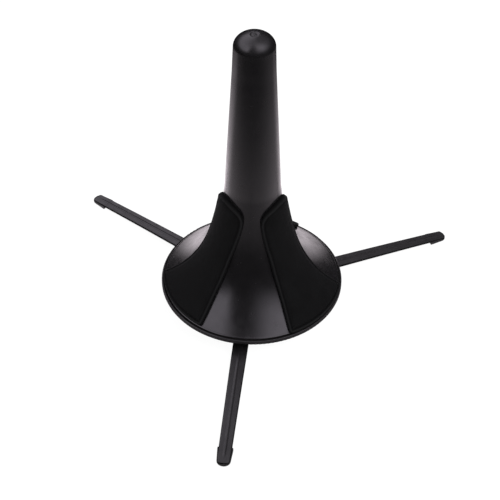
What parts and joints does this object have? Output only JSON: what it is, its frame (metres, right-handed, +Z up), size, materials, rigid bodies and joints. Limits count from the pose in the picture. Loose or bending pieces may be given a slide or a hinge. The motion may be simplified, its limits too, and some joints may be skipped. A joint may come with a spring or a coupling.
{
  "type": "trumpet stand",
  "caption": "Free-standing trumpet stand: a hollow tapered cone with padded flare that the bell rests on, over slim legs that fold and store inside the cone",
  "frame": {"origin": "on the cone's axis, at floor level under the rubber feet", "axes": "+Z up along the cone's axis; the front leg points along -Y; +X to the right seen from the front leg"},
  "size_m": [0.2123, 0.1927, 0.1725],
  "materials": {
    "cone_plastic": "satin black moulded plastic",
    "base_plastic": "satin black moulded plastic",
    "hub_plastic": "satin black moulded plastic",
    "pad_foam": "black closed-cell foam",
    "pad_velvet": "black velvet, short matt pile",
    "leg_paint": "black semi-gloss paint on pressed steel",
    "foot_rubber": "black matt rubber",
    "pin_steel": "plain drawn steel pin",
    "screw_steel": "zinc-plated steel screws"
  },
  "bodies": {
    "stand": {"cone_body": "cone_plastic", "base_plate": "base_plastic", "base_screws": "screw_steel", "pad_left_foam": "pad_foam", "pad_right_foam": "pad_foam", "pad_rear_foam": "pad_foam", "pad_left_velvet": "pad_velvet", "pad_right_velvet": "pad_velvet", "pad_rear_velvet": "pad_velvet"},
    "hub": {"hub_body": "hub_plastic", "hub_plate": "hub_plastic", "hub_screws": "screw_steel", "hub_ring": "foot_rubber", "hinge_pin_front": "pin_steel", "hinge_pin_left": "pin_steel", "hinge_pin_right": "pin_steel"},
    "front_leg": {"leg_front": "leg_paint", "foot_front": "foot_rubber"},
    "left_leg": {"leg_left": "leg_paint", "foot_left": "foot_rubber"},
    "right_leg": {"leg_right": "leg_paint", "foot_right": "foot_rubber"}
  },
  "joints": [
    {"name": "hub_pull", "type": "slide", "parent": "stand", "child": "hub", "axis": [0, 0, -1], "range_m": [0, 0.04]},
    {"name": "front_leg_fold", "type": "hinge", "parent": "hub", "child": "front_leg", "pos_m": [-0.001, -0.009, 0.0054], "axis": [1, 0, 0], "range_deg": [0, 88]},
    {"name": "left_leg_fold", "type": "hinge", "parent": "hub", "child": "left_leg", "pos_m": [-0.007, 0.00574, 0.0054], "axis": [-0.5446, -0.8387, 0], "range_deg": [0, 88]},
    {"name": "right_leg_fold", "type": "hinge", "parent": "hub", "child": "right_leg", "pos_m": [0.00836, 0.00349, 0.0054], "axis": [-0.4848, 0.8746, 0], "range_deg": [0, 88]}
  ]
}
